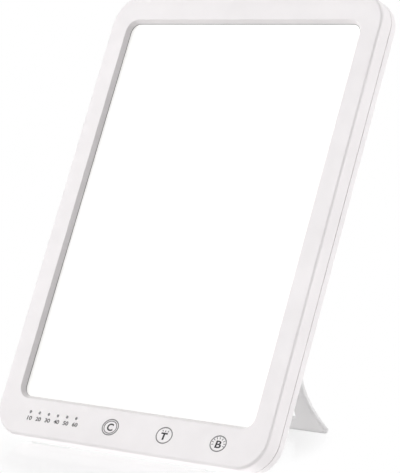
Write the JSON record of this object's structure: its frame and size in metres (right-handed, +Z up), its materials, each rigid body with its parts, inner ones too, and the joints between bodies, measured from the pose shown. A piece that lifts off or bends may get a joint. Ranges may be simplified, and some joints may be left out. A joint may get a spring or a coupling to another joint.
{
  "type": "light therapy lamp",
  "caption": "Slim upright light therapy lamp: rounded white case with a large opal lit window, touch keys and timer marks under it, and a flip-out flared kickstand on its back.",
  "frame": {"origin": "centre of the overall box in X and Y, on the table the lamp stands on", "axes": "+Z up, -Y towards the user (the lit side), +X to the right as the user sees the lamp; the case leans back about X"},
  "size_m": [0.19, 0.1368, 0.2458],
  "materials": {
    "white_abs": "satin injection-moulded white ABS",
    "opal_acrylic": "frosted opal acrylic",
    "clear_acrylic": "clear acrylic, polished edges",
    "white_film": "white reflective polyester film",
    "aluminium_sheet": "pressed, plain mill finish",
    "white_circuit_strip": "aluminium-core circuit strip with white solder mask",
    "led_package": "white package with yellow phosphor",
    "lead_film": "amber polyimide",
    "socket_nylon": "natural nylon",
    "green_board": "glass-epoxy board with green solder mask",
    "conductive_foam": "dark grey conductive foam",
    "clear_pipe": "clear polycarbonate, frosted tips",
    "black_epoxy": "moulded black epoxy",
    "ferrite": "dark grey ferrite",
    "capacitor_can": "aluminium can",
    "black_nylon": "black glass-filled nylon",
    "nickel_brass": "nickel-plated brass",
    "zinc_steel": "zinc-plated steel",
    "hinge_steel": "ground stainless steel",
    "washer_acetal": "white acetal",
    "foot_silicone": "white silicone rubber",
    "kickstand_abs": "satin light grey ABS"
  },
  "bodies": {
    "case": {"front_bezel": "white_abs", "rear_cover": "white_abs", "diffuser_panel": "opal_acrylic", "light_guide_plate": "clear_acrylic", "reflector_sheet": "white_film", "heat_spreader": "aluminium_sheet", "led_strip_left": "white_circuit_strip", "led_strip_right": "white_circuit_strip", "led_chips_left": "led_package", "led_chips_right": "led_package", "strip_lead_left": "lead_film", "strip_lead_right": "lead_film", "lead_sockets": "socket_nylon", "control_board": "green_board", "touch_pads": "conductive_foam", "timer_leds": "led_package", "timer_light_pipe": "clear_pipe", "controller_chip": "black_epoxy", "driver_inductor": "ferrite", "driver_capacitors": "capacitor_can", "dc_jack": "black_nylon", "dc_jack_pin": "nickel_brass", "board_screws": "zinc_steel", "case_screws": "zinc_steel", "hinge_pins": "hinge_steel", "hinge_washers": "washer_acetal", "case_feet": "foot_silicone"},
    "kickstand": {"kickstand": "kickstand_abs"}
  },
  "joints": [
    {"name": "kickstand_hinge", "type": "hinge", "parent": "case", "child": "kickstand", "pos_m": [0, 0.01503, 0.15985], "axis": [-1, 0, 0], "range_deg": [0, 42.2]}
  ]
}
